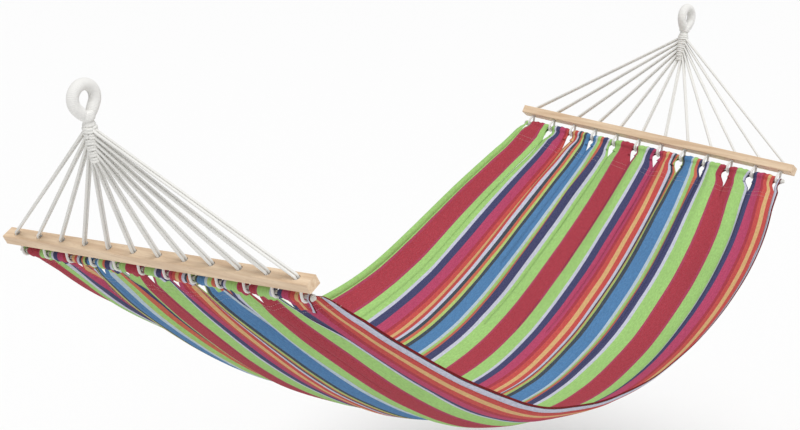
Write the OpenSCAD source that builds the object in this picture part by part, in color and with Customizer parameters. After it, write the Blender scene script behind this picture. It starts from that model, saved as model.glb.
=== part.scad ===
// Spreader-bar hammock, hung taut between two hooks.
// X runs along the bed from the near eye to the far eye, Y across it, Z up. Millimetres.
// The origin is the middle of the opening in the near eye, where a hook holds it.
// Both ends are the same: the far end is the near end turned half round about a vertical axis.

/* [Bed] */
// Distance between the middles of the two spreader bars
bar_spacing = 1720; // [1500:10:2100]
// Width of the cloth from edge to edge, as it hangs at mid-length
bed_width = 940; // [760:10:1100]
// Depth of the bed's edges at mid-length below the hem lines
bed_sag = 350; // [200:5:450]
// Extra depth of the cloth along its middle, below its edges
belly_depth = 105; // [20:5:180]
// Thickness of the cloth
cloth_t = 1.6; // [1.0:0.1:1.8]
// Length of the slots between the tabs, from the hem rope
slot_length = 40; // [34:1:60]
// Width of a slot at the hem rope
slot_width = 16; // [14:1:22]

/* [Spreader bars] */
// Length of a bar
bar_length = 800; // [780:5:1000]
// Width of a bar's drilled face
bar_width = 28; // [24:1:40]
// Thickness of a bar, along its holes
bar_thickness = 20; // [16:1:30]
// Radius of the bar's long edges
bar_edge_r = 1.5; // [0.5:0.5:3]
// Distance from one hole to the next
hole_pitch = 67; // [56:0.5:69]
// Gap between a strand and the side of its hole
hole_clearance = 0.55; // [0.3:0.05:1.5]

/* [Clew] */
// Distance from the middle of a bar to the foot of its lashing
clew_length = 222; // [180:2:400]
// Slope of the clew cords
clew_slope = 59; // [45:1:75]
// Roll of each bar about the length of the bed, the two ends opposite ways
end_roll = 3.8; // [0:0.2:6]
// Diameter of one strand of a clew cord
cord_d = 5.5; // [4:0.1:6.6]
// Diameter of a hem rope
hem_rope_d = 8; // [6:0.5:9]
// Distance from a bar's lower face to the middle of its hem rope
hem_drop = 24; // [22:1:50]
// Radius of the bight that a clew cord makes round the hem rope
bight_r = 11; // [10:0.5:11.5]

/* [Lashing and eye] */
// Slope of the lashing and the eye
eye_slope = 77.5; // [60:0.5:90]
// Length of the lashing
lashing_length = 65; // [60:1:90]
// Width of the lashing at its top
lashing_width = 28; // [26:1:40]
// Diameter of the rope that the eye is served with, over all
eye_rope_d = 22; // [18:1:26]
// Diameter of the eye's bundle of strands, inside its serving
eye_core_d = 15; // [10:0.5:17]
// Width of the eye's opening
eye_opening = 26; // [20:1:40]
// Height from the neck to the middle of the eye's opening
eye_height = 41; // [38:1:60]

/* [Hidden] */

wood = "burlywood";
cotton = "whitesmoke";
stripes = "mediumseagreen";

hole_count = 12;
running_gap = 0.3;          // between pieces that turn on each other
bend_rise = 3;              // a strand straightens this far outside its hole
last_hole_y = hole_pitch * (hole_count - 1) / 2;
hem_z = -(bar_thickness / 2 + hem_drop);            // hem rope's middle, in the bar's own frame
edge_gap = 4;               // from the outer bights to the cloth's corners
hem_half = last_hole_y - cord_d / 2 - edge_gap;     // half the width of the hem, as gathered
strand_gap = 0.9;           // between the two strands of a cord
strand_x = (cord_d + strand_gap) / 2;
hole_d = 2 * (strand_x + cord_d / 2 + hole_clearance);
knot_d = 2 * hem_rope_d;
knot_y = last_hole_y + cord_d / 2 + running_gap + 1 + knot_d / 2;

// lashing: wraps piled on a core, wide at the top
wrap_count = 6;
wrap_d = 10;
wrap_foot = wrap_d / 2 + 1;
wrap_step = (lashing_length - wrap_d - 1) / (wrap_count - 1);
wrap_taper = 0.6;           // each wrap down is this much smaller in radius
lashing_core_r = lashing_width / 2 - wrap_taper * (wrap_count - 1) - 4;
inner_start = 4.5;          // the cords end this far to the side of the lashing's middle
outer_start = 8;
neck_gap = 9;               // from the lashing's top to the middle of the neck ball
ball_r = 11;
ball_neck_r = 8;
ball_clearance = 0.5;
dome_wall = 6;
dome_foot = 2;              // the dome ends this far above the ball's middle

// eye: a ring with two legs that meet at the neck
ring_r = (eye_opening + eye_rope_d) / 2;
leg_angle = asin(ring_r / eye_height);
leg_length = eye_height * cos(leg_angle);
leg_step = 0.3;
serving_gap = 0.3;
core_end_gap = 0.6;

// reference points in the middle frame: origin half way between the bars, near bar at -X
bar_x = bar_spacing / 2;
clew_run = [-cos(clew_slope), 0, sin(clew_slope)];
eye_run = [-cos(eye_slope), 0, sin(eye_slope)];
lashing_foot = [-bar_x, 0, 0] + clew_length * clew_run;
neck = lashing_foot + (lashing_length + neck_gap) * eye_run;
eye_middle = neck + eye_height * eye_run;

// shape of the bed
hem_x = bar_x + hem_z * cos(clew_slope);
sag_power = 2.4;
widen_power = 6;
belly_power = 2.5;
end_fullness = 0.18;
first_row = 0.972;          // share of the half length where the sheet proper begins
row_count = 32;
tab_count = hole_count - 1;
hem_loop_r = hem_rope_d / 2 + cloth_t / 2 + 1.2;    // middle of the cloth, round the hem rope
hem_seam = (cloth_t + running_gap) / 2;             // middle of each layer of the hem
hem_fold = 26;              // depth of the hem
slot_foot = 3;              // half width of a slot at its foot
loop_angles = [50:36:310];

// ---------------------------------------------------------------- helpers
function unit(v) = v / norm(v);
function two_digits(i) = i < 10 ? str("0", i) : str(i);
function cord_name(end, i) = str(end, "_clew_cord_", two_digits(i));
function hole_y(i) = (i - (hole_count - 1) / 2) * hole_pitch;
function turn_y(p, a) = [p[0] * cos(a) + p[2] * sin(a), p[1], -p[0] * sin(a) + p[2] * cos(a)];
function turn_x(p, a) = [p[0], p[1] * cos(a) - p[2] * sin(a), p[1] * sin(a) + p[2] * cos(a)];

// from the bar's own frame (X across its drilled face, Y along it, Z up its holes) to the middle frame
function from_bar(p) = [-bar_x, 0, 0] + turn_x(turn_y(p, clew_slope - 90), -end_roll);
// from the lashing's own frame (Z up the lashing, Y as the bed's) to the middle frame
function from_lashing(p) = lashing_foot + turn_y(p, eye_slope - 90);

module bar_frame() translate([-bar_x, 0, 0]) rotate([-end_roll, 0, 0]) rotate([0, clew_slope - 90, 0]) children();
module lashing_frame() translate(lashing_foot) rotate([0, eye_slope - 90, 0]) children();
module neck_frame() translate(neck) rotate([0, eye_slope - 90, 0]) children();

// puts a piece of the near end at either end, and moves it to the part's own frame
module at_end(end) in_place() rotate([0, 0, end == "far" ? 180 : 0]) children();
module in_place() translate(-eye_middle) children();

// a round tube of n sides swept along a path; side is a direction the path never runs in
function path_tangent(p, i) = unit(
    (i > 0 ? unit(p[i] - p[i - 1]) : [0, 0, 0]) + (i < len(p) - 1 ? unit(p[i + 1] - p[i]) : [0, 0, 0]));
function tube_ring(c, t, side, r, n) =
    let (x = unit(side - (side * t) * t), y = cross(t, x))
    [for (k = [0:n - 1]) c + r * (cos(360 * k / n) * x + sin(360 * k / n) * y)];

module tube(path, d, side, n = 8) {
    last = len(path) - 1;
    points = [for (i = [0:last]) each tube_ring(path[i], path_tangent(path, i), side, d / 2, n)];
    sides = [for (i = [0:last - 1]) for (k = [0:n - 1]) let (m = (k + 1) % n)
        each [[i * n + k, (i + 1) * n + k, (i + 1) * n + m], [i * n + k, (i + 1) * n + m, i * n + m]]];
    caps = [[for (k = [0:n - 1]) k], [for (k = [n - 1:-1:0]) last * n + k]];
    polyhedron(points, concat(sides, caps));
}

// ---------------------------------------------------------------- spreader bars
module spreader_bar(end) color(wood) at_end(end) bar_frame() difference() {
    rotate([90, 0, 0]) linear_extrude(bar_length, center = true)
        rounded_rectangle(bar_width, bar_thickness, bar_edge_r);
    for (i = [0:hole_count - 1]) translate([0, hole_y(i), 0])
        cylinder(d = hole_d, h = bar_thickness + 2, center = true, $fn = 48);
}

module rounded_rectangle(w, h, r) {
    square([w - 2 * r, h], center = true);
    square([w, h - 2 * r], center = true);
    for (x = [-1, 1]) for (y = [-1, 1])
        translate([x * (w / 2 - r), y * (h / 2 - r)]) circle(r = r, $fn = 32);
}

// ---------------------------------------------------------------- hem ropes
// runs through the hem and every bight, with a stop knot outside the last bight at each side
module hem_rope(end) color(cotton) at_end(end) bar_frame() translate([0, 0, hem_z]) rotate([90, 0, 0]) {
    cylinder(d = hem_rope_d, h = 2 * knot_y, center = true, $fn = 48);
    for (side = [-1, 1]) translate([0, 0, side * knot_y]) sphere(d = knot_d, $fn = 48);
}

// ---------------------------------------------------------------- clew cords
// Each cord is doubled: down from the lashing, through its hole, round the hem rope and back.
// m counts the cords outwards from the middle, and outer cords leave the lashing higher up.
function cord_start(i) =
    let (m = abs(i - (hole_count - 1) / 2) - 0.5)
    [0, sign(hole_y(i)) * (m == 0 ? inner_start : outer_start), wrap_foot + m * wrap_step];
function bight_z() = hem_z - hem_rope_d / 2 - running_gap - cord_d / 2 + bight_r;
function down_strand(i, s) =
    let (start = from_lashing(cord_start(i) + [s * strand_x, 0, 0]),
         mouth = from_bar([s * strand_x, hole_y(i), bar_thickness / 2 + bend_rise]))
    [start, mouth + 6 * unit(start - mouth), mouth,
     from_bar([s * strand_x, hole_y(i), -bar_thickness / 2 - bend_rise + 1]),
     from_bar([s * bight_r * 0.76, hole_y(i), bight_z() + 0.87 * bight_r])];
function reversed(list) = [for (k = [len(list) - 1:-1:0]) list[k]];
function cord_path(i) = concat(
    down_strand(i, 1),
    [for (a = [0:-22.5:-180]) from_bar([bight_r * cos(a), hole_y(i), bight_z() + bight_r * sin(a)])],
    reversed(down_strand(i, -1)));

module clew_cord(end, i) color(cotton) at_end(end)
    tube(cord_path(i), cord_d, from_bar([0, 1, 0]) - from_bar([0, 0, 0]));

// ---------------------------------------------------------------- lashing
module clew_lashing(end) color(cotton) at_end(end) lashing_frame() {
    translate([0, 0, 1]) cylinder(r = lashing_core_r, h = lashing_length - 2, $fn = 64);
    for (k = [0:wrap_count - 1]) translate([0, 0, wrap_foot + k * wrap_step])
        rotate_extrude($fn = 64)
            translate([lashing_width / 2 - wrap_d / 2 - wrap_taper * (wrap_count - 1 - k), 0])
                circle(d = wrap_d, $fn = 32);
    translate([0, 0, lashing_length - 4]) cylinder(r = ball_neck_r, h = neck_gap + 2, $fn = 48);
    translate([0, 0, lashing_length + neck_gap]) sphere(r = ball_r, $fn = 64);
}

// ---------------------------------------------------------------- eye
// a ring in the XZ plane whose two ends run straight to the neck, a hair slimmer than the ring
module teardrop(d) {
    translate([0, 0, eye_height]) rotate([90, 0, 0]) rotate([0, 0, -leg_angle])
        rotate_extrude(angle = 180 + 2 * leg_angle, $fn = 96) translate([ring_r, 0]) circle(d = d, $fn = 48);
    for (side = [-1, 1]) rotate([0, side * leg_angle, 0])
        cylinder(d = d - 2 * leg_step, h = leg_length + 1.5, $fn = 48);
}

module eye_core(end) color(cotton) at_end(end) neck_frame() difference() {
    teardrop(eye_core_d);
    sphere(r = ball_r + ball_clearance + core_end_gap, $fn = 64);
}

// the wrapping over the core, closed to a socket that turns on the neck's ball
module eye_serving(end) color(cotton) at_end(end) neck_frame() difference() {
    union() {
        teardrop(eye_rope_d);
        sphere(r = ball_r + ball_clearance + dome_wall, $fn = 64);
    }
    teardrop(eye_core_d + 2 * serving_gap);
    sphere(r = ball_r + ball_clearance, $fn = 64);
    translate([0, 0, dome_foot - 50]) cube(100, center = true);
}

// ---------------------------------------------------------------- bed cloth
// The cloth's middle surface. u runs -1 to 1 from hem to hem, v -1 to 1 from edge to edge.
function bed_point(u, v) =
    let (l = abs(u), w = abs(v))
    [hem_x * (u - end_fullness * u * (1 - u * u)),
     v * (hem_half + (bed_width / 2 - hem_half) * (1 - pow(l, widen_power))),
     hem_z * sin(clew_slope) + sin(end_roll) * u * v * hem_half
        - bed_sag * (1 - pow(l, sag_power)) - belly_depth * (1 - pow(w, belly_power)) * (1 - pow(l, belly_power))];

// a point of the near or far hem: s out from the hem rope, square to it, and r above the middle.
// What the cloth has to widen by, before its first row, it gains along a parabola.
function hem_axis(end, v) = let (p = from_bar([0, -end * v * hem_half, hem_z])) [-end * p[0], -end * p[1], p[2]];
function hem_point(end, v, s, r) =
    let (a = hem_axis(end, v),
         along = unit(hem_axis(end, 1) - hem_axis(end, -1)),
         reach = bed_point(end * first_row, v) - a,
         widening = reach * along,
         out = reach - widening * along,
         up = unit(-end * cross(out, along)))
    a + s * unit(out) + r * up + widening * pow(s / norm(out), 2) * along;

// the hem's section: the turned-in layer, round the rope, and back out to the bed
hem_section = concat(
    [[hem_fold, -hem_seam], [15, -hem_seam]],
    [for (a = loop_angles) hem_loop_r * [cos(a), -sin(a)]],
    [[15, hem_seam], [hem_fold, hem_seam]]);
hem_rows = len(hem_section);

// each tab has three lines of points, and its edges draw in beside the bights
function tab_edge(tab, side, g) =
    let (at = hole_y(tab + (side + 1) / 2) / hem_half, outer = side < 0 ? tab == 0 : tab == tab_count - 1)
    outer ? side : at - side * g / hem_half;
function line_v(j, g) =
    let (tab = floor(j / 3), low = tab_edge(tab, -1, g), high = tab_edge(tab, 1, g))
    [low, (low + high) / 2, high][j % 3];
function slot_half(s) = slot_foot + (slot_width / 2 - slot_foot) * max(0, 1 - s / slot_length);
line_count = 3 * tab_count;

cloth_rows = concat(
    [for (q = hem_section) [for (j = [0:line_count - 1]) hem_point(-1, line_v(j, slot_half(q[0])), q[0], q[1])]],
    [for (k = [0:row_count]) [for (j = [0:line_count - 1])
        bed_point(first_row * (2 * k / row_count - 1), line_v(j, slot_foot))]],
    [for (q = reversed(hem_section)) [for (j = [0:line_count - 1])
        hem_point(1, line_v(j, slot_half(q[0])), q[0], q[1])]]);
last_cloth_row = len(cloth_rows) - 1;
last_line = line_count - 1;

function cloth_normal(i, j) = unit(cross(
    cloth_rows[min(i + 1, last_cloth_row)][j] - cloth_rows[max(i - 1, 0)][j],
    cloth_rows[i][min(j + 1, last_line)] - cloth_rows[i][max(j - 1, 0)]));
// a slot is a column of cells left out between two tabs
function has_cell(i, j) = i >= 0 && i < last_cloth_row && j >= 0 && j < last_line
    && (j % 3 != 2 || (i >= hem_rows && i < last_cloth_row - hem_rows));

function quad(a, b, c, d) = [[a, b, c], [a, c, d]];
function t(i, j) = i * line_count + j;
function b(i, j) = len(cloth_rows) * line_count + t(i, j);
module bed_cloth() color(stripes) in_place() {
    above = [for (i = [0:last_cloth_row]) for (j = [0:last_line])
        cloth_rows[i][j] + cloth_t / 2 * cloth_normal(i, j)];
    below = [for (i = [0:last_cloth_row]) for (j = [0:last_line])
        cloth_rows[i][j] - cloth_t / 2 * cloth_normal(i, j)];
    faces = [for (i = [0:last_cloth_row - 1]) for (j = [0:last_line - 1]) if (has_cell(i, j)) each concat(
        quad(t(i, j), t(i, j + 1), t(i + 1, j + 1), t(i + 1, j)),
        quad(b(i, j), b(i + 1, j), b(i + 1, j + 1), b(i, j + 1)),
        has_cell(i - 1, j) ? [] : quad(b(i, j + 1), t(i, j + 1), t(i, j), b(i, j)),
        has_cell(i + 1, j) ? [] : quad(b(i + 1, j), t(i + 1, j), t(i + 1, j + 1), b(i + 1, j + 1)),
        has_cell(i, j - 1) ? [] : quad(b(i, j), t(i, j), t(i + 1, j), b(i + 1, j)),
        has_cell(i, j + 1) ? [] : quad(b(i + 1, j + 1), t(i + 1, j + 1), t(i, j + 1), b(i, j + 1)))];
    polyhedron(concat(above, below), faces);
}

// ---------------------------------------------------------------- the object
bed_cloth();
for (end = ["near", "far"]) {
    spreader_bar(end);
    hem_rope(end);
    clew_lashing(end);
    eye_core(end);
    eye_serving(end);
    for (i = [1:hole_count]) clew_cord(end, i - 1);
}
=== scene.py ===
"""Spreader-bar hammock: cloth, cords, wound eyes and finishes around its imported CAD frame.

Metres, in the frame's own axes: X along the bed, Y across it, Z up, with the origin in the near eye.
Both ends are the same: the far one is the near one turned half round a vertical axis at mid-bed.
"""

import math
import random

import bmesh
import bpy
import numpy as np
from mathutils import Matrix, Vector, noise


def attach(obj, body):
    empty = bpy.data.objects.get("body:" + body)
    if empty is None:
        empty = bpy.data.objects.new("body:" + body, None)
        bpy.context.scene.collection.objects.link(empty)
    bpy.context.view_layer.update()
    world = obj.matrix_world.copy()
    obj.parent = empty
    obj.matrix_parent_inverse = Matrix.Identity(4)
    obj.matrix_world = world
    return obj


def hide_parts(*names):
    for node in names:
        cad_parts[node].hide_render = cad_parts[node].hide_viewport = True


ENDS = ("near", "far")

# sizes that the design states
BAR_SPACING = 1.720
BAR_THICKNESS = 0.020
HOLES = 12
HOLE_PITCH = 0.067
BEND_RISE = 0.003           # a strand straightens this far outside its hole
RUNNING_GAP = 0.0003
CLEW_LENGTH = 0.222
CLEW_SLOPE = math.radians(59)
END_ROLL = math.radians(3.8)
CORD_D = 0.0055
STRAND_X = 0.0032
HEM_ROPE_D = 0.008
HEM_Z = -0.034
BIGHT_R = 0.011
INNER_START = 0.0045        # the cords end this far to the side of the lashing's middle
OUTER_START = 0.008
EYE_SLOPE = math.radians(77.5)
LASHING_LENGTH = 0.065
LASHING_WIDTH = 0.028
WRAPS = 6
WRAP_FOOT = 0.006
WRAP_STEP = 0.0108
WRAP_TAPER = 0.0006
NECK_GAP = 0.009
EYE_ROPE_D = 0.022
EYE_RING_R = 0.024
EYE_HEIGHT = 0.041
HEM_HALF = 0.36175
HALF_WIDTH = 0.470
BED_SAG = 0.350
BELLY = 0.105
END_FULLNESS = 0.18
FIRST_ROW = 0.972

# the cloth as it is cut and hemmed
CLOTH_WIDTH = 1.0
CLOTH_T = 0.0012
SLOT_HALF = (0.0065, 0.0105)        # narrowest and widest half width of a slot
SLOT_DEPTH = (0.034, 0.046)
SLOT_NECK = 0.0044
END_SLOT = (0.0046, 0.030)          # half width and depth of the slots next to the edges
EDGE_STRIP = 0.014                  # flat width outside an end slot
EDGE_AT_ROPE = 0.3795               # half the gathered hem, edge strips and all
EDGE_EASE = 0.09                    # the edge strips come back in over this distance
HEM_DEPTH = 0.026                   # the turned-in layer reaches this far from the rope's middle
HEM_SEAM = 0.00095                  # half the distance between its two layers, where they are sewn
HEM_LOOP_R = 0.006
LOOP_MOUTH = 0.0085                 # the hem's layers part this far from the rope's middle
HEM_PUFF = 0.62                     # the loop stands off by this share of its radius in mid-tab
PUFF_VARIES = 0.16
RUFFLES_PER_TAB = 3.5
TUNNEL_OPEN = 0.72                  # half the gap between the layers at the rope, as a share of its radius
TABS = HOLES - 1
TAB_CELLS = 12
EDGE_CELLS = 2
BED_ROWS = 230
ROW_RUN = 1.02                      # a row lies about ROW_RUN * (1 - |u|) + FIRST_S from its hem rope
FIRST_S = 0.012

# how the cloth gathers at its hems, and lies past them
GATHER_HEIGHT = 0.017
GATHER_FADE = 0.13
PLEATS_PER_TAB = 2.5
PLEAT_HEIGHT = 0.003
PLEAT_FADE = 0.09
OUTWARD = 0.003                     # folds seldom stand further out of the bed than this
CORNER_LIFT = 0.020
CORNER_FADE = 0.2
BED_LIFT = 0.006
EDGE_CURL = 0.010
CRUMPLE = 0.004

# long soft folds from each hem, 1 far and -1 near:
# v, its drift per metre, height, width in v, and how far they run
FOLDS = {
    1: [
        (0.60, -0.02, -0.034, 0.036, 0.9), (0.36, 0.02, -0.044, 0.034, 0.9),
        (-0.25, 0.03, -0.044, 0.032, 0.8), (-0.41, 0.03, -0.040, 0.034, 0.8),
        (-0.78, 0.00, -0.036, 0.034, 0.8), (0.08, -0.05, -0.022, 0.080, 0.6),
        (0.84, 0.00, -0.018, 0.060, 0.6), (-0.58, -0.04, 0.020, 0.080, 0.5),
    ],
    -1: [
        (0.56, 0.02, 0.074, 0.076, 0.5), (0.235, -0.02, 0.066, 0.066, 0.5),
        (-0.46, -0.04, 0.072, 0.076, 0.5), (-0.83, 0.02, 0.030, 0.045, 0.4),
        (-0.12, 0.00, 0.014, 0.040, 0.4),
    ],
}

# the ropes, lashings and eyes as they are wound
HEM_ROPE_REACH = 0.3886             # half its length
KNOT_AT = 0.3806                    # a knot's middle
KNOT_R = 0.004                      # of the turns that its cord makes
KNOT_TURNS = 1.5
KNOT_LENGTH = 0.007
KNOT_CORD_D = 0.0052
WRAP_CORD_D = 0.0058                # each wrap is a pair of these, over a rounder core
WRAP_CORD_LIFT = 0.0026
WRAP_CORD_OUT = 0.0021
WRAP_CORE_D = 0.0084
STRANDS = 11
STRAND_TWIST = 14                   # radians in each metre
YARN_PITCH = 0.0026
LEG_FOOT = 0.0035                   # the eye's legs start this far above the neck
COLLAR_RIDGE = 0.0006
COLLAR_END_R = 0.011                # the collar's ends are plain inside this radius
ACROSS = np.array([0.0, 1.0, 0.0])


# ------------------------------------------------------------------ places, as the design has them
def along(slope):
    """The direction that rises outwards from the near end at this slope."""
    return Vector((-math.cos(slope), 0, math.sin(slope)))


BAR = Vector((0, 0, 0)) - CLEW_LENGTH * along(CLEW_SLOPE)
BAR -= (LASHING_LENGTH + NECK_GAP + EYE_HEIGHT) * along(EYE_SLOPE)
MID_X = BAR.x + BAR_SPACING / 2
BAR_TURN = Matrix.Rotation(-END_ROLL, 3, "X") @ Matrix.Rotation(CLEW_SLOPE - math.pi / 2, 3, "Y")
LASHING_TURN = Matrix.Rotation(EYE_SLOPE - math.pi / 2, 3, "Y")
LASHING_FOOT = BAR + CLEW_LENGTH * along(CLEW_SLOPE)
NECK = LASHING_FOOT + (LASHING_LENGTH + NECK_GAP) * along(EYE_SLOPE)


def from_bar(x, y, z):
    """From the near bar's frame: X across its drilled face, Y along it, Z up its holes."""
    return BAR + BAR_TURN @ Vector((x, y, z))


def from_lashing(x, y, z):
    """From the near lashing's frame: Z up it, Y across the bed."""
    return LASHING_FOOT + LASHING_TURN @ Vector((x, y, z))


def from_neck(x, y, z):
    """From the near neck's frame: Z up the eye, Y across the bed."""
    return NECK + LASHING_TURN @ Vector((x, y, z))


def at_end(end, points):
    """Points of the near end, or the same points of the far one."""
    if end == "near":
        return [Vector(p) for p in points]
    return [Vector((2 * MID_X - p[0], -p[1], p[2])) for p in points]


def direction(end, place, x, y, z):
    """A direction in one of the near end's frames, turned with its end."""
    tip, foot = at_end(end, [place(x, y, z), place(0, 0, 0)])
    return np.array(tip - foot)


def hole_y(i):
    """How far a hole lies from the middle of its bar."""
    return (i - (HOLES - 1) / 2) * HOLE_PITCH


# ------------------------------------------------------------------ meshes
def new_piece(name, points, faces, material):
    """A smooth-shaded mesh object at the origin."""
    mesh = bpy.data.meshes.new(name)
    mesh.from_pydata([tuple(p) for p in points], [], faces)
    mesh.materials.append(material)
    mesh.polygons.foreach_set("use_smooth", [True] * len(mesh.polygons))
    piece = bpy.data.objects.new(name, mesh)
    bpy.context.scene.collection.objects.link(piece)
    return piece


def joined(name, parts, material):
    """One piece from several (points, faces) lists."""
    points, faces = [], []
    for part_points, part_faces in parts:
        base = len(points)
        points += part_points
        faces += [[base + i for i in f] for f in part_faces]
    return new_piece(name, points, faces, material)


def smooth_path(points, step, passes=2):
    """A path cut into even steps, with its corners eased."""
    p = np.array([tuple(q) for q in points], float)
    for _ in range(passes):
        cut = [p[0]]
        for a, b in zip(p[:-1], p[1:]):
            cut += [0.75 * a + 0.25 * b, 0.25 * a + 0.75 * b]
        p = np.array(cut + [p[-1]])
    run = np.concatenate([[0], np.cumsum(np.linalg.norm(np.diff(p, axis=0), axis=1))])
    count = max(4, int(run[-1] / step))
    at = np.linspace(0, run[-1], count + 1)
    return np.stack([np.interp(at, run, p[:, k]) for k in range(3)], axis=1)


def cross_directions(path, side):
    """Two directions across a path at each point, on a path that never runs along side."""
    t = np.gradient(path, axis=0)
    t /= np.linalg.norm(t, axis=1)[:, None]
    x = side - (t @ side)[:, None] * t
    x /= np.linalg.norm(x, axis=1)[:, None]
    return x, np.cross(t, x)


def swept(path, side, radius, sides):
    """A closed tube along a path, as (points, faces): radius(run, angle) gives each ring's radii."""
    x, y = cross_directions(path, side)
    run = np.concatenate([[0], np.cumsum(np.linalg.norm(np.diff(path, axis=0), axis=1))])
    angle = np.linspace(0, 2 * math.pi, sides, endpoint=False)
    r = radius(run[:, None], angle[None, :])
    ring = path[:, None] + r[..., None] * (
        np.cos(angle)[None, :, None] * x[:, None] + np.sin(angle)[None, :, None] * y[:, None]
    )
    points = [tuple(q) for q in ring.reshape(-1, 3)]
    faces = []
    for i in range(len(path) - 1):
        for k in range(sides):
            m = (k + 1) % sides
            faces.append([i * sides + k, i * sides + m, (i + 1) * sides + m, (i + 1) * sides + k])
    last = (len(path) - 1) * sides
    faces += [list(range(sides))[::-1], [last + k for k in range(sides)]]
    return points, faces


def laid_rope(d, lay, strands=3, depth=0.15):
    """The radii of a rope laid from twisted strands, rounded off at its ends."""

    def radius(run, angle):
        groove = np.abs(np.cos(strands * (angle - 2 * math.pi * run / lay) / 2))
        length = run[-1, 0]
        tip = np.minimum(run, length - run) / (0.4 * d)
        cap = np.sqrt(np.clip(1 - (1 - np.clip(tip, 0, 1)) ** 2, 0.04, 1))
        return d / 2 * (1 - depth + depth * groove**0.8) * cap

    return radius


def plain_rope(d):
    """The radii of a plain round rope."""
    return lambda run, angle: np.full(np.broadcast_shapes(run.shape, angle.shape), d / 2)


# ------------------------------------------------------------------ shape of the bed
def bed_surface(u, v):
    """The hanging cloth's middle, u from hem to hem and v from edge to edge, as the design has it."""
    l, w = np.abs(u), np.abs(v)
    hem_x = BAR_SPACING / 2 + HEM_Z * math.cos(CLEW_SLOPE)
    x = MID_X + hem_x * (u - END_FULLNESS * u * (1 - u * u))
    y = v * (HEM_HALF + (HALF_WIDTH - HEM_HALF) * (1 - l**6))
    z = BAR.z + HEM_Z * math.sin(CLEW_SLOPE) + math.sin(END_ROLL) * u * v * HEM_HALF
    z = z - BED_SAG * (1 - l**2.4) - BELLY * (1 - w**2.5) * (1 - l**2.5)
    return np.stack(np.broadcast_arrays(x, y, z), axis=-1)


def hem_axis(end, v):
    """The middle of a hem rope at v, with end -1 near and 1 far."""
    near = np.array([from_bar(0, -end * y * HEM_HALF, HEM_Z) for y in np.ravel(v)]).reshape(v.shape + (3,))
    if end < 0:
        return near
    return np.stack([2 * MID_X - near[..., 0], -near[..., 1], near[..., 2]], axis=-1)


def hem_surface(end, v, s, r):
    """The hem: s out from the rope's middle, square to it, and r above the cloth's middle."""
    a = hem_axis(end, v)
    axis = hem_axis(end, np.array([1.0]))[0] - hem_axis(end, np.array([-1.0]))[0]
    axis /= np.linalg.norm(axis)
    reach = bed_surface(np.full(v.shape, end * FIRST_ROW), v) - a
    widening = reach @ axis
    out = reach - widening[..., None] * axis
    depth = np.linalg.norm(out, axis=-1)
    out = out / depth[..., None]
    up = -end * np.cross(out, axis)
    up /= np.linalg.norm(up, axis=-1)[..., None]
    s, r = (np.broadcast_to(q, v.shape)[..., None] for q in (s, r))
    return a + s * out + r * up + (widening[..., None] * (s / depth[..., None]) ** 2) * axis


def grown(x, start, over):
    """0 up to start, and growing from there to 1 over this distance."""
    return np.clip((x - start) / over, 0, 1)


def cloth_relief(v, s, half, tab, across):
    """The gathers, folds and creases of the cloth, measured up from its middle surface."""
    rng = random.Random(11)
    relief = np.zeros(v.shape)
    inside = (tab >= 0) & (tab < TABS)
    for end in (-1, 1):
        bulge, slip, pleat = (
            np.array([rng.uniform(low, high) for _ in range(TABS + 2)])[tab + 1]
            for low, high in ((0.65, 1.35), (-0.5, 0.5), (0.5, 1.3))
        )
        arch = np.where(inside, np.sin(math.pi * across), 0)
        fine = arch * np.sin(2 * math.pi * (PLEATS_PER_TAB * across + slip))
        gathers = GATHER_HEIGHT * grown(s, 0, 0.04) ** 1.3 * bulge * (arch - 0.6) * np.exp(-s / GATHER_FADE)
        gathers += PLEAT_HEIGHT * grown(s, 0, 0.02) * pleat * fine * np.exp(-s / PLEAT_FADE)
        for at, lean, tall, wide, long in FOLDS[end]:
            x = (v - at - lean * s) / (wide * (1 + s))
            gathers += tall * x * np.exp(-(x**2)) * grown(s, 0.02, 0.12) * np.exp(-s / long)
        gathers = np.where(gathers < -OUTWARD, -OUTWARD + 0.2 * (gathers + OUTWARD), gathers)
        corner = grown(v * end, 0.7, 0.3) ** 2 * grown(s, 0, 0.03)
        gathers += CORNER_LIFT * corner * np.exp(-s / CORNER_FADE)
        relief += (half == end) * gathers
    relief += BED_LIFT * grown(s, 0.05, 0.3)
    curl = grown(np.abs(v), 0.94, 0.06) ** 2
    return relief + EDGE_CURL * curl * grown(s, 0, 0.1)


def slot_gaps():
    """Each slot's widest half width, and its depth: cut by hand, so none alike, and the end ones small."""
    rng = random.Random(5)
    gaps = [(rng.uniform(*SLOT_HALF), rng.uniform(*SLOT_DEPTH)) for _ in range(HOLES)]
    gaps[0] = gaps[-1] = END_SLOT
    return gaps


def slot_half(s, half, depth):
    """Half a slot's width: snug on the bight at the rope, widest a little below it, then to a point."""
    widest = 0.4 * depth
    if s < widest:
        return SLOT_NECK + (half - SLOT_NECK) * math.sin(math.pi * s / widest / 2)
    return half * max(0.0, 1 - ((s - widest) / (depth - widest)) ** 1.7)


def edge_reach(s):
    """v of the cloth's edge: out past the end slots at the rope, and back to 1 beyond the gathers."""
    return 1 + (EDGE_AT_ROPE / HEM_HALF - 1) * max(0.0, 1 - s / EDGE_EASE) ** 1.5


def column_lines():
    """Lines along the cloth: the strip or tab each is on, and how far across that it lies."""
    lines = []
    for tab in range(-1, TABS + 1):
        cells = EDGE_CELLS if tab in (-1, TABS) else TAB_CELLS
        lines += [(tab, k / cells) for k in range(cells + 1)]
    return lines


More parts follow.
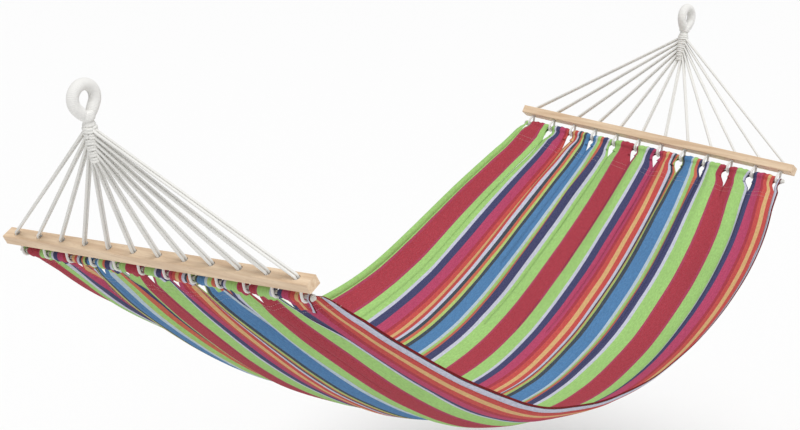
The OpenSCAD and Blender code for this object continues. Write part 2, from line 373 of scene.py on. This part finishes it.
def line_v(lines, s):
    """v of each line at a distance s from the hem rope, between slots that narrow to a point."""
    reach = edge_reach(s)
    scale = reach / EDGE_AT_ROPE
    gaps = [slot_half(s, half, depth) / HEM_HALF for half, depth in slot_gaps()]
    out = []
    for tab, across in lines:
        low = -reach if tab < 0 else hole_y(tab) * scale + gaps[tab]
        high = reach if tab == TABS else hole_y(tab + 1) * scale - gaps[tab + 1]
        out.append(low + across * (high - low))
    return np.array(out)


def flat_place(lines):
    """How far across the flat cloth each line lies."""
    tab_width = (CLOTH_WIDTH - 2 * EDGE_STRIP) / TABS
    out = []
    for tab, across in lines:
        if tab < 0:
            out.append(EDGE_STRIP * across)
        elif tab == TABS:
            out.append(CLOTH_WIDTH - EDGE_STRIP * (1 - across))
        else:
            out.append(EDGE_STRIP + (tab + across) * tab_width)
    return np.array(out)


def hem_section():
    """(s, r) along the hem's section, from its turned-in edge, round the rope, and out to the bed."""
    inner = [(s, -HEM_SEAM) for s in np.linspace(HEM_DEPTH, LOOP_MOUTH, 6)]
    angles = np.radians(np.linspace(50, 310, 22))
    loop = [(HEM_LOOP_R * math.cos(a), -HEM_LOOP_R * math.sin(a)) for a in angles]
    outer = [(s, HEM_SEAM) for s in np.linspace(LOOP_MOUTH, HEM_DEPTH, 6)]
    return inner + loop + outer


def cloth_rows(lines):
    """Rows of points from hem to hem, with each row's distance from its hem rope and along the cloth."""
    rows = [(-1, *hem_row(-1, lines, *q), max(q[0], 0.0)) for q in hem_section()]
    for k in range(BED_ROWS + 1):
        u = FIRST_ROW * (2 * k / BED_ROWS - 1)
        s = (1 - abs(u)) * ROW_RUN + FIRST_S
        v = line_v(lines, s)
        rows.append((1 if u > 0 else -1, bed_surface(np.full(len(v), u), v), v, s))
    rows += [(1, *hem_row(1, lines, *q), max(q[0], 0.0)) for q in hem_section()[::-1]]
    p = np.array([q[1] for q in rows])
    v = np.array([q[2] for q in rows])
    shape = np.ones(v.shape)
    s = np.array([q[3] for q in rows])[:, None] * shape
    half = np.array([q[0] for q in rows])[:, None] * shape
    middle = len(lines) // 2
    run = np.concatenate([[0], np.cumsum(np.linalg.norm(np.diff(p[:, middle], axis=0), axis=1))])
    normal = np.cross(np.gradient(p, axis=0), np.gradient(p, axis=1))
    normal /= np.maximum(np.linalg.norm(normal, axis=-1)[..., None], 1e-12)
    tab = np.array([q[0] for q in lines])[None, :] * shape.astype(int)
    across = np.array([q[1] for q in lines])[None, :] * shape
    relief = cloth_relief(v, s, half, tab, across)
    crumple = [[noise.noise(Vector((q[0] * 6, q[1] * 8, 3.1))) for q in row] for row in p]
    relief += CRUMPLE * np.array(crumple) * grown(s, 0, 0.1)
    return p + normal * relief[..., None], s, run, normal


def hem_row(end, lines, s, r):
    """One row of the hem; where it loops round the rope it puffs out in the middle of each tab."""
    v = line_v(lines, max(s, 0.0))
    puff = np.ones(len(v))
    for k, (tab, across) in enumerate(lines):
        if 0 <= tab < TABS:
            arch = math.sin(math.pi * across)
            ruffle = PUFF_VARIES * math.sin(2 * math.pi * RUFFLES_PER_TAB * across + 1.7 * tab + end)
            puff[k] += arch**0.4 * (HEM_PUFF + PUFF_VARIES * math.sin(2.3 * tab + end) + ruffle)
    if math.hypot(s, r) < HEM_LOOP_R + 1e-6:
        return hem_surface(end, v, s * puff, r * puff), v
    taper = max(0.0, (HEM_DEPTH - s) / HEM_DEPTH) ** 1.3
    open_by = taper * (TUNNEL_OPEN * HEM_LOOP_R * puff - HEM_SEAM)
    return hem_surface(end, v, s, math.copysign(1, r) * (HEM_SEAM + open_by)), v


def make_bed(material):
    """The whole cloth, with its tabs cut apart by slots, and its points, normals and distances by row."""
    lines = column_lines()
    p, s, run, normal = cloth_rows(lines)
    rows, columns = s.shape
    faces = []
    for i in range(rows - 1):
        for j in range(columns - 1):
            if lines[j][0] == lines[j + 1][0]:
                corner = i * columns + j
                faces.append([corner, corner + 1, corner + columns + 1, corner + columns])
    piece = new_piece("bed", p.reshape(-1, 3), faces, material)
    layer = piece.data.uv_layers.new(name="cloth")
    index = np.empty(len(piece.data.loops), int)
    piece.data.loops.foreach_get("vertex_index", index)
    uv = np.stack([CLOTH_WIDTH - flat_place(lines)[index % columns], run[index // columns]], axis=1)
    layer.data.foreach_set("uv", uv.ravel())
    work = bmesh.new()
    work.from_mesh(piece.data)
    bmesh.ops.remove_doubles(work, verts=work.verts, dist=0.00005)
    work.to_mesh(piece.data)
    work.free()
    thicken = piece.modifiers.new("thickness", "SOLIDIFY")
    thicken.thickness = CLOTH_T
    thicken.offset = 0
    return piece, p, normal, s


# ------------------------------------------------------------------ clew cords and hem ropes
def cord_route(i):
    """One doubled cord: down from the lashing, through its hole, round the hem rope and back."""
    y = hole_y(i)
    m = abs(i - (HOLES - 1) / 2) - 0.5
    start_y = math.copysign(INNER_START if m == 0 else OUTER_START, y)
    start_z = WRAP_FOOT + WRAP_STEP * m
    bight_z = HEM_Z - HEM_ROPE_D / 2 - RUNNING_GAP - CORD_D / 2 + BIGHT_R

    def strand(side):
        start = from_lashing(side * STRAND_X, start_y, start_z)
        mouth = from_bar(side * STRAND_X, y, BAR_THICKNESS / 2 + BEND_RISE)
        foot = from_bar(side * STRAND_X, y, -BAR_THICKNESS / 2 - BEND_RISE + 0.001)
        shoulder = from_bar(side * BIGHT_R * 0.76, y, bight_z + 0.87 * BIGHT_R)
        return [start, mouth + 0.006 * (start - mouth).normalized(), mouth, foot, shoulder]

    turn = [
        from_bar(BIGHT_R * math.cos(a), y, bight_z + BIGHT_R * math.sin(a))
        for a in np.radians(np.arange(0, -181, -22.5))
    ]
    return strand(1) + turn + strand(-1)[::-1]


def make_cord(end, i, material):
    """One clew cord, twisted from three strands."""
    path = smooth_path(at_end(end, cord_route(i)), step=0.0016)
    tube = swept(path, direction(end, from_bar, 0, 1, 0), laid_rope(CORD_D, lay=0.019), sides=12)
    piece = new_piece(f"{end}_cord_{i + 1:02d}", *tube, material)
    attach(piece, f"{end}_clew")
    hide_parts(f"{end}_clew_cord_{i + 1:02d}")


def make_hem_rope(end, material):
    """The rope through a hem and its bights, and its two knots."""
    route = [from_bar(0, y, HEM_Z) for y in np.linspace(-HEM_ROPE_REACH, HEM_ROPE_REACH, 30)]
    path = smooth_path(at_end(end, route), step=0.0022, passes=0)
    tube = swept(path, direction(end, from_bar, 1, 0, 0), laid_rope(HEM_ROPE_D, lay=0.026), sides=15)
    rope = new_piece(f"{end}_hem_line", *tube, material)
    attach(rope, "bed")
    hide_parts(f"{end}_hem_rope")
    knots = [make_knot(end, name, y, material) for name, y in (("left", KNOT_AT), ("right", -KNOT_AT))]


def make_knot(end, side_name, y, material):
    """An overhand stopper: the rope's own end wound over itself just outside the last bight."""
    turns = []
    for share in np.linspace(0, 1, 49):
        a = 2 * math.pi * KNOT_TURNS * share
        along_rope = (share - 0.5) * KNOT_LENGTH
        turns.append(from_bar(KNOT_R * math.cos(a), y + along_rope, HEM_Z + KNOT_R * math.sin(a)))
    path = smooth_path(at_end(end, turns), step=0.0012, passes=1)
    side = direction("near", from_bar, 0, 1, 0) * (1 if end == "near" else -1)
    tube = swept(path, side, laid_rope(KNOT_CORD_D, lay=0.02), sides=12)
    knot = new_piece(f"{end}_{side_name}_stop_knot", *tube, material)
    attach(knot, "bed")
    return knot


# ------------------------------------------------------------------ lashing and eye
def make_lashing(end, material):
    """Hard wraps of doubled cord round the gathered strands, and their bundle running up to the eye."""
    parts = []
    side = direction(end, from_lashing, 0, 0, 1)
    for k in range(WRAPS):
        z = WRAP_FOOT + WRAP_STEP * k
        r = LASHING_WIDTH / 2 - 0.005 - WRAP_TAPER * (WRAPS - 1 - k)
        for lift in (-WRAP_CORD_LIFT, WRAP_CORD_LIFT):
            ring = []
            for a in np.linspace(0, 2 * math.pi, 73) + 0.9 * k:
                wave = 0.0007 * math.sin(3 * a + k)
                out = r + WRAP_CORD_OUT
                ring.append(from_lashing(out * math.cos(a), out * math.sin(a), z + lift + wave))
            path = np.array([tuple(q) for q in at_end(end, ring)])
            parts.append(swept(path, side, laid_rope(WRAP_CORD_D, lay=0.016, depth=0.13), sides=12))
        inner = [from_lashing(r * math.cos(a), r * math.sin(a), z) for a in np.linspace(0, 2 * math.pi, 49)]
        path = np.array([tuple(q) for q in at_end(end, inner)])
        parts.append(swept(path, side, plain_rope(WRAP_CORE_D), sides=10))
    route = [from_lashing(0, 0, z) for z in np.linspace(0.0015, 0.0835, 20)]
    bundle = smooth_path(at_end(end, route), step=0.0012, passes=0)
    swell_at = [0, 0.004, 0.060, 0.066, 0.072, 0.082]      # the bundle is widest where it leaves the wraps
    swell_r = [0.0078, 0.0085, 0.0085, 0.0125, 0.0098, 0.0105]

    def strands(run, angle):
        lobes = np.abs(np.cos(STRANDS * (angle - STRAND_TWIST * run) / 2)) ** 0.6
        swell = np.interp(run[:, 0], swell_at, swell_r)
        return swell[:, None] * (0.88 + 0.12 * lobes)

    parts.append(swept(bundle, ACROSS, strands, sides=66))
    piece = joined(f"{end}_lashing", parts, material)
    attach(piece, f"{end}_clew")
    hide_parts(f"{end}_clew_lashing")


def wound_yarn(d, depth, narrow):
    """The radii of a rope served with yarn, which narrows towards its ends."""

    def radius(run, angle):
        ridge = np.abs(np.sin(math.pi * (run / YARN_PITCH - angle / (2 * math.pi))))
        end = np.clip(np.minimum(run, run[-1, 0] - run) / narrow, 0, 1)
        return (d / 2 - depth * (1 - ridge**0.7)) * (0.56 + 0.44 * np.sin(end * math.pi / 2))

    return radius


def make_eye(end, material):
    """The served eye: a teardrop of rope wound close with yarn, and the collar that binds its legs."""
    leg = math.asin(EYE_RING_R / EYE_HEIGHT)
    reach = EYE_HEIGHT * math.cos(leg)
    down = [Vector((-math.sin(leg) * t, 0, math.cos(leg) * t)) for t in np.linspace(LEG_FOOT, reach, 14)]
    ring = [
        Vector((EYE_RING_R * math.cos(a), 0, EYE_HEIGHT + EYE_RING_R * math.sin(a)))
        for a in np.linspace(math.pi + leg, -leg, 61)[1:-1]
    ]
    up = [Vector((math.sin(leg) * t, 0, math.cos(leg) * t)) for t in np.linspace(reach, LEG_FOOT, 14)]
    route = at_end(end, [from_neck(*q) for q in down + ring + up])
    path = smooth_path(route, step=0.0005, passes=0)
    parts = [swept(path, ACROSS, wound_yarn(EYE_ROPE_D, depth=0.0007, narrow=0.022), sides=36)]
    profile = [(0.0010, 0.0022), (0.0100, 0.0022), (0.0122, 0.0034), (0.0130, 0.0062), (0.0133, 0.0100)]
    profile += [(0.0130, 0.0140), (0.0118, 0.0172), (0.0080, 0.0190), (0.0010, 0.0195)]
    parts.append(collar(end, profile))
    piece = joined(f"{end}_wound_eye", parts, material)
    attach(piece, f"{end}_eye")
    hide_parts(f"{end}_eye_serving")


def collar(end, profile):
    """The binding at the neck, turned from its (radius, height) outline, with the same yarn ridges."""
    r = np.array([q[0] for q in profile])
    z = np.array([q[1] for q in profile])
    run = np.concatenate([[0], np.cumsum(np.hypot(np.diff(r), np.diff(z)))])
    at = np.linspace(0, run[-1], 56)
    rr, zz = np.interp(at, run, r), np.interp(at, run, z)
    sides = 64
    points, faces = [], []
    for k in range(len(at)):
        wound = rr[k] > COLLAR_END_R
        ridge = COLLAR_RIDGE * abs(math.sin(math.pi * at[k] / YARN_PITCH)) ** 0.7 if wound else 0.0
        for n in range(sides):
            a = 2 * math.pi * n / sides
            points.append(from_neck((rr[k] + ridge) * math.cos(a), (rr[k] + ridge) * math.sin(a), zz[k]))
    for k in range(len(at) - 1):
        for n in range(sides):
            m = (n + 1) % sides
            faces.append([k * sides + n, k * sides + m, (k + 1) * sides + m, (k + 1) * sides + n])
    last = (len(at) - 1) * sides
    faces += [[last + n for n in range(sides)], list(range(sides))[::-1]]
    return [tuple(q) for q in at_end(end, points)], faces


# ------------------------------------------------------------------ finishes
def colour(r, g, b):
    """A colour named by its 0-255 display values, as the shader wants it."""
    linear = [c / 255 / 12.92 if c <= 10 else ((c / 255 + 0.055) / 1.055) ** 2.4 for c in (r, g, b)]
    return (*linear, 1.0)


class Nodes:
    """Short names for building a material's or group's node tree."""

    def __init__(self, tree):
        self.tree = tree

    def add(self, kind, **values):
        node = self.tree.nodes.new(kind)
        for key, value in values.items():
            setattr(node, key, value)
        return node

    def link(self, a, b):
        self.tree.links.new(a, b)

    def math(self, operation, a, b=None, c=None):
        node = self.add("ShaderNodeMath", operation=operation)
        for socket, value in zip(node.inputs, (a, b, c)):
            if value is None:
                continue
            if isinstance(value, (int, float)):
                socket.default_value = value
            else:
                self.link(value, socket)
        return node.outputs[0]

    def mix(self, factor, a, b):
        node = self.add("ShaderNodeMix", data_type="RGBA")
        for socket, value in ((node.inputs[0], factor), (node.inputs[6], a), (node.inputs[7], b)):
            if isinstance(value, (int, float, tuple)):
                socket.default_value = value
            else:
                self.link(value, socket)
        return node.outputs[2]

    def noise(self, vector, scale=1.0, detail=2.0):
        node = self.add("ShaderNodeTexNoise")
        node.inputs["Scale"].default_value = scale
        node.inputs["Detail"].default_value = detail
        self.link(vector, node.inputs["Vector"])
        return node.outputs[0]

    def stretched(self, vector, scale):
        node = self.add("ShaderNodeMapping")
        node.inputs["Scale"].default_value = scale
        self.link(vector, node.inputs["Vector"])
        return node.outputs[0]

    def bump(self, shader, height, strength, distance):
        node = self.add("ShaderNodeBump")
        node.inputs["Strength"].default_value = strength
        node.inputs["Distance"].default_value = distance
        self.link(height, node.inputs["Height"])
        self.link(node.outputs[0], shader.inputs["Normal"])


def new_group(name, inputs, outputs):
    """An empty node group, its Nodes helper, and its input and output nodes."""
    group = bpy.data.node_groups.new(name, "ShaderNodeTree")
    for label, kind, value in inputs:
        socket = group.interface.new_socket(label, in_out="INPUT", socket_type=kind)
        if value is not None:
            socket.default_value = value
    for label, kind in outputs:
        group.interface.new_socket(label, in_out="OUTPUT", socket_type=kind)
    n = Nodes(group)
    return group, n, n.add("NodeGroupInput").outputs, n.add("NodeGroupOutput").inputs


def yarn_shade_group():
    """Uneven cotton: a slow soiling, a fibre speckle, and the height of the fibres."""
    group, n, given, out = new_group(
        "uneven cotton",
        [
            ("Position", "NodeSocketVector", None),
            ("Colour", "NodeSocketColor", (0.8, 0.8, 0.8, 1)),
            ("Speckle", "NodeSocketFloat", 0.1),
        ],
        [("Colour", "NodeSocketColor"), ("Height", "NodeSocketFloat")],
    )
    slow = n.noise(given["Position"], scale=14, detail=3)
    fine = n.noise(given["Position"], scale=900, detail=2)
    shade = n.math("MULTIPLY_ADD", slow, 0.22, 0.89)
    speck = n.math("MULTIPLY", n.math("SUBTRACT", fine, 0.5), given["Speckle"])
    value = n.math("ADD", shade, speck)
    tint = n.add("ShaderNodeVectorMath", operation="SCALE")
    n.link(given["Colour"], tint.inputs[0])
    n.link(value, tint.inputs["Scale"])
    n.link(tint.outputs[0], out["Colour"])
    n.link(fine, out["Height"])
    return group


def new_material(name):
    """A new material, its Nodes helper and its shader."""
    material = bpy.data.materials.new(name)
    material.use_nodes = True
    n = Nodes(material.node_tree)
    shader = next(q for q in material.node_tree.nodes if q.type == "BSDF_PRINCIPLED")
    return material, n, shader


def cotton(name, tint, group, speckle=0.12):
    """Spun cotton: the colour and fibre height of the group, and a soft sheen."""
    material, n, shader = new_material(name)
    place = n.add("ShaderNodeTexCoord").outputs["Object"]
    fibre = n.add("ShaderNodeGroup", node_tree=group)
    n.link(place, fibre.inputs["Position"])
    fibre.inputs["Colour"].default_value = tint
    fibre.inputs["Speckle"].default_value = speckle
    n.link(fibre.outputs["Colour"], shader.inputs["Base Color"])
    n.bump(shader, fibre.outputs["Height"], strength=0.25, distance=0.0004)
    shader.inputs["Roughness"].default_value = 0.9
    shader.inputs["Specular IOR Level"].default_value = 0.25
    shader.inputs["Sheen Weight"].default_value = 0.1
    shader.inputs["Sheen Roughness"].default_value = 0.5
    return material


GREEN = colour(152, 197, 108)
CRIMSON = colour(160, 28, 46)
ROSE = colour(172, 46, 88)
PINK = colour(162, 42, 76)
NAVY = colour(40, 46, 92)
CORAL = colour(188, 62, 52)
STRAW = colour(206, 166, 108)
LILAC = colour(190, 192, 208)
PINE = colour(38, 54, 64)
ORANGE = colour(192, 92, 64)
LIME = colour(168, 192, 104)
BLUE = colour(62, 118, 166)
PALE = colour(176, 194, 206)

# one repeat of the warp, in millimetres, from the +Y edge of the cloth
WARP = [
    (GREEN, 41), (PINK, 6), (CRIMSON, 49), (PINK, 8), (GREEN, 41), (LILAC, 8), (NAVY, 20), (ROSE, 24),
    (CRIMSON, 9), (CORAL, 13), (STRAW, 12), (CORAL, 14), (LILAC, 9), (PINE, 8), (ORANGE, 8), (LIME, 8),
    (PINE, 9), (BLUE, 31), (PALE, 9), (LIME, 4), (GREEN, 11), (ORANGE, 12), (NAVY, 20), (LILAC, 9),
]
WARP_REPEAT = sum(width for _, width in WARP) / 1000
WARP_START = 0.025          # how far into its repeat the warp is at the +Y edge
STRIPE_WAVER = 0.003        # how far a stripe's edge wanders, in all
WARP_END = 0.0011           # from one warp yarn to the next
WEFT_PICK = 0.0013
WEFT = colour(196, 190, 202)
EDGE_LINE = 0.0035          # a dark red thread along the -Y edge
EDGE_RED = colour(112, 28, 30)


def striped_cloth():
    """Yarn-dyed plain weave: the warp's colours, broken by a pale weft, uneven from yarn to yarn."""
    material, n, shader = new_material("striped cotton cloth")
    uv = n.add("ShaderNodeUVMap", uv_map="cloth").outputs[0]
    parts = n.add("ShaderNodeSeparateXYZ")
    n.link(uv, parts.inputs[0])
    across, length = parts.outputs[0], parts.outputs[1]
    waver = n.noise(n.stretched(uv, (60, 9, 1)), detail=1.0)
    moved = n.math("MULTIPLY_ADD", n.math("SUBTRACT", waver, 0.5), STRIPE_WAVER, across)
    place = n.math("MODULO", n.math("ADD", moved, WARP_START + WARP_REPEAT), WARP_REPEAT)
    ramp = n.add("ShaderNodeValToRGB")
    ramp.color_ramp.interpolation = "CONSTANT"
    ramp_at = 0.0
    for k, (tint, width) in enumerate(WARP):
        if k < 2:           # a new ramp has two stops
            stop = ramp.color_ramp.elements[k]
            stop.position = ramp_at
        else:
            stop = ramp.color_ramp.elements.new(ramp_at)
        stop.color = tint
        ramp_at += width / 1000 / WARP_REPEAT
    n.link(n.math("DIVIDE", place, WARP_REPEAT), ramp.inputs[0])
    warp_wave = n.math("SINE", n.math("MULTIPLY", across, 2 * math.pi / WARP_END))
    weft_wave = n.math("SINE", n.math("MULTIPLY", length, 2 * math.pi / WEFT_PICK))
    weave = n.math("MULTIPLY", warp_wave, weft_wave)
    slub = n.noise(n.stretched(uv, (700, 40, 1)))
    grain = n.noise(n.stretched(uv, (420, 420, 1)), detail=1.0)
    mottle = n.noise(n.stretched(uv, (260, 120, 1)))
    worn = n.noise(uv, scale=5.0, detail=3.0)
    show_weft = n.math("MULTIPLY_ADD", grain, 0.22, -0.04)
    woven = n.mix(show_weft, ramp.outputs[0], WEFT)
    value = n.math("MULTIPLY_ADD", slub, 0.42, 0.79)
    for uneven, swing, least in ((worn, 0.16, 0.92), (mottle, 0.5, 0.75), (weave, 0.04, 1.0)):
        value = n.math("MULTIPLY", value, n.math("MULTIPLY_ADD", uneven, swing, least))
    edge = n.math("GREATER_THAN", across, CLOTH_WIDTH - EDGE_LINE)
    tint = n.add("ShaderNodeVectorMath", operation="SCALE")
    n.link(n.mix(edge, woven, EDGE_RED), tint.inputs[0])
    n.link(value, tint.inputs["Scale"])
    n.link(tint.outputs[0], shader.inputs["Base Color"])
    n.bump(shader, n.math("MULTIPLY_ADD", weave, 0.35, slub), strength=0.35, distance=0.0005)
    shader.inputs["Roughness"].default_value = 0.88
    shader.inputs["Specular IOR Level"].default_value = 0.12
    shader.inputs["Sheen Weight"].default_value = 0.02
    shader.inputs["Sheen Roughness"].default_value = 0.5
    return material


def pale_wood():
    """Planed beech: grain along the bar, small dark flecks, and a little unevenness of tone."""
    material, n, shader = new_material("pale planed wood")
    place = n.add("ShaderNodeTexCoord").outputs["Object"]
    grain = n.noise(n.stretched(place, (120, 5, 120)), detail=4.0)
    fleck = n.noise(n.stretched(place, (900, 60, 900)), detail=1.0)
    tone = n.noise(n.stretched(place, (9, 2, 9)))
    ramp = n.add("ShaderNodeValToRGB")
    ramp.color_ramp.elements[0].position = 0.35
    ramp.color_ramp.elements[0].color = colour(204, 174, 142)
    ramp.color_ramp.elements[1].position = 0.66
    ramp.color_ramp.elements[1].color = colour(230, 206, 176)
    n.link(grain, ramp.inputs[0])
    dark = n.add("ShaderNodeMapRange")
    dark.inputs["From Min"].default_value = 0.62
    dark.inputs["From Max"].default_value = 0.74
    n.link(fleck, dark.inputs["Value"])
    flecked = n.mix(n.math("MULTIPLY", dark.outputs[0], 0.35), ramp.outputs[0], colour(160, 112, 74))
    toned = n.mix(n.math("MULTIPLY", tone, 0.3), flecked, colour(222, 194, 162))
    n.link(toned, shader.inputs["Base Color"])
    n.link(n.math("MULTIPLY_ADD", grain, 0.2, 0.42), shader.inputs["Roughness"])
    n.bump(shader, grain, strength=0.2, distance=0.0004)
    return material


# ------------------------------------------------------------------ stitches
STITCHED_AT = (0.0495, 0.0585)          # how far from the rope the rows run
STITCH_PITCH = 0.0045
STITCH_LENGTH = 0.0034
THREAD_D = 0.0006


def stitch_tree(material):
    """Short stitches laid along every row of a curve, as geometry."""
    tree = bpy.data.node_groups.new("stitches", "GeometryNodeTree")
    tree.interface.new_socket("Geometry", in_out="INPUT", socket_type="NodeSocketGeometry")
    for label, value in (("Pitch", STITCH_PITCH), ("Length", STITCH_LENGTH), ("Thickness", THREAD_D)):
        socket = tree.interface.new_socket(label, in_out="INPUT", socket_type="NodeSocketFloat")
        socket.default_value = value
    tree.interface.new_socket("Geometry", in_out="OUTPUT", socket_type="NodeSocketGeometry")
    n = Nodes(tree)
    given = n.add("NodeGroupInput").outputs
    out = n.add("NodeGroupOutput").inputs
    points = n.add("GeometryNodeCurveToPoints", mode="LENGTH")
    n.link(given["Geometry"], points.inputs["Curve"])
    n.link(given["Pitch"], points.inputs["Length"])
    thread = n.add("GeometryNodeMeshIcoSphere")
    thread.inputs["Radius"].default_value = 0.5
    thread.inputs["Subdivisions"].default_value = 1
    size = n.add("ShaderNodeCombineXYZ")
    n.link(given["Thickness"], size.inputs[0])
    n.link(given["Thickness"], size.inputs[1])
    n.link(given["Length"], size.inputs[2])
    laid = n.add("GeometryNodeInstanceOnPoints")
    n.link(points.outputs["Points"], laid.inputs["Points"])
    n.link(thread.outputs["Mesh"], laid.inputs["Instance"])
    n.link(points.outputs["Rotation"], laid.inputs["Rotation"])
    n.link(size.outputs[0], laid.inputs["Scale"])
    real = n.add("GeometryNodeRealizeInstances")
    n.link(laid.outputs[0], real.inputs[0])
    paint = n.add("GeometryNodeSetMaterial")
    paint.inputs["Material"].default_value = material
    n.link(real.outputs[0], paint.inputs[0])
    n.link(paint.outputs[0], out[0])
    return tree


def make_stitches(name, rows, tree, body):
    """Plain-mesh stitches along rows of points."""
    curve = bpy.data.curves.new(name + "_rows", "CURVE")
    curve.dimensions = "3D"
    for row in rows:
        spline = curve.splines.new("POLY")
        spline.points.add(len(row) - 1)
        spline.points.foreach_set("co", [c for q in row for c in (*q, 1.0)])
    guide = bpy.data.objects.new(name + "_rows", curve)
    bpy.context.scene.collection.objects.link(guide)
    modifier = guide.modifiers.new("stitches", "NODES")
    modifier.node_group = tree
    evaluated = guide.evaluated_get(bpy.context.evaluated_depsgraph_get())
    mesh = bpy.data.meshes.new_from_object(evaluated)
    bpy.data.objects.remove(guide)
    piece = bpy.data.objects.new(name, mesh)
    bpy.context.scene.collection.objects.link(piece)
    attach(piece, body)
    return piece


def stitch_rows(p, normal, s, side):
    """Two rows across the cloth past the slots of each hem, just proud of it, on one face."""
    lift = side * (CLOTH_T / 2 + 0.0001)
    half = len(p) // 2
    rows = []
    for depth in STITCHED_AT:
        for index in (
            min(range(half), key=lambda i: abs(s[i, 0] - depth)),
            min(range(half, len(p)), key=lambda i: abs(s[i, 0] - depth)),
        ):
            rows.append(p[index] + lift * normal[index])
    return rows


# ------------------------------------------------------------------ light, floor and camera
FLOOR_Z = -1.30
FLOOR_HALF = 60.0


def make_stage():
    """A pale floor below the bed, too wide for its edges to show."""
    corners = [(x * FLOOR_HALF, y * FLOOR_HALF, FLOOR_Z) for x, y in ((-1, -1), (1, -1), (1, 1), (-1, 1))]
    floor_mesh = bpy.data.meshes.new("floor")
    floor_mesh.from_pydata(corners, [], [(0, 1, 2, 3)])
    floor = bpy.data.objects.new("floor", floor_mesh)
    bpy.context.scene.collection.objects.link(floor)
    material, _, shader = new_material("pale floor")
    shader.inputs["Base Color"].default_value = (0.90, 0.90, 0.90, 1)
    shader.inputs["Roughness"].default_value = 0.9
    floor_mesh.materials.append(material)


def make_lights():
    """One broad soft light from above and a little in front, and even light from all round."""
    lamp = bpy.data.lights.new("overhead", "SUN")
    lamp.energy = 2.05
    lamp.angle = math.radians(40)
    light = bpy.data.objects.new("overhead", lamp)
    bpy.context.scene.collection.objects.link(light)
    shines = Vector((0.35, 0.42, -1.0))
    light.rotation_euler = shines.to_track_quat("-Z", "Y").to_euler()
    world = bpy.data.worlds.new("studio")
    bpy.context.scene.world = world
    world.use_nodes = True
    sky = world.node_tree.nodes["Background"]
    sky.inputs["Color"].default_value = (1, 1, 1, 1)
    sky.inputs["Strength"].default_value = 0.54
    bpy.context.scene.view_settings.view_transform = "Standard"


def make_camera():
    """A long lens from in front of the near end, a little above the bars and to the bed's -Y side."""
    data = bpy.data.cameras.new("camera")
    data.sensor_width = 36
    data.lens = 74.2
    camera = bpy.data.objects.new("camera", data)
    bpy.context.scene.collection.objects.link(camera)
    place = (-1.7805, -2.1574, 0.4354)
    heading, tilt, lean = 0.6880, -0.2241, 0.0208
    forward = Vector((
        math.cos(tilt) * math.cos(heading), math.cos(tilt) * math.sin(heading), math.sin(tilt)
    ))
    right = forward.cross(Vector((0, 0, 1))).normalized()
    up = right.cross(forward)
    right, up = right * math.cos(lean) + up * math.sin(lean), up * math.cos(lean) - right * math.sin(lean)
    turn = Matrix((right, up, -forward)).transposed().to_4x4()
    camera.matrix_world = Matrix.Translation(place) @ turn
    bpy.context.scene.camera = camera


# ------------------------------------------------------------------ the whole
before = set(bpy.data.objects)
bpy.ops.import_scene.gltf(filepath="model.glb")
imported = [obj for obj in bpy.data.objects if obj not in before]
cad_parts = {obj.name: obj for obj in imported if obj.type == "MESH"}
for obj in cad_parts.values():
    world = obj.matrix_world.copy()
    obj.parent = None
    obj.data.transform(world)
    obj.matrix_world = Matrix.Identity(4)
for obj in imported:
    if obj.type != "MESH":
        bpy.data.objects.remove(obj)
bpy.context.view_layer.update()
make_camera()
make_lights()
make_stage()

cotton_group = yarn_shade_group()
cord_cotton = cotton("twisted white cotton", colour(226, 225, 221), cotton_group)
rope_cotton = cotton("white cotton rope", colour(208, 207, 202), cotton_group)
lashing_cotton = cotton("wound cotton cord", colour(226, 225, 221), cotton_group)
yarn_cotton = cotton("served cotton yarn", colour(228, 227, 224), cotton_group, speckle=0.08)
strand_cotton = cotton("cotton strands", colour(200, 198, 190), cotton_group)
wood = pale_wood()
cloth = striped_cloth()
thread = cotton("sewing thread", colour(196, 186, 178), cotton_group)

for end in ENDS:
    for node, material in (("spreader_bar", wood), ("eye_core", strand_cotton)):
        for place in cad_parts[f"{end}_{node}"].material_slots:
            place.material = material
    for i in range(HOLES):
        make_cord(end, i, cord_cotton)
    make_hem_rope(end, rope_cotton)
    make_lashing(end, lashing_cotton)
    make_eye(end, yarn_cotton)

bed, bed_points, bed_normals, bed_s = make_bed(cloth)
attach(bed, "bed")
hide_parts("bed_cloth")
stitches = make_stitches(
    "hem_stitches",
    stitch_rows(bed_points, bed_normals, bed_s, 1) + stitch_rows(bed_points, bed_normals, bed_s, -1),
    stitch_tree(thread),
    "bed",
)
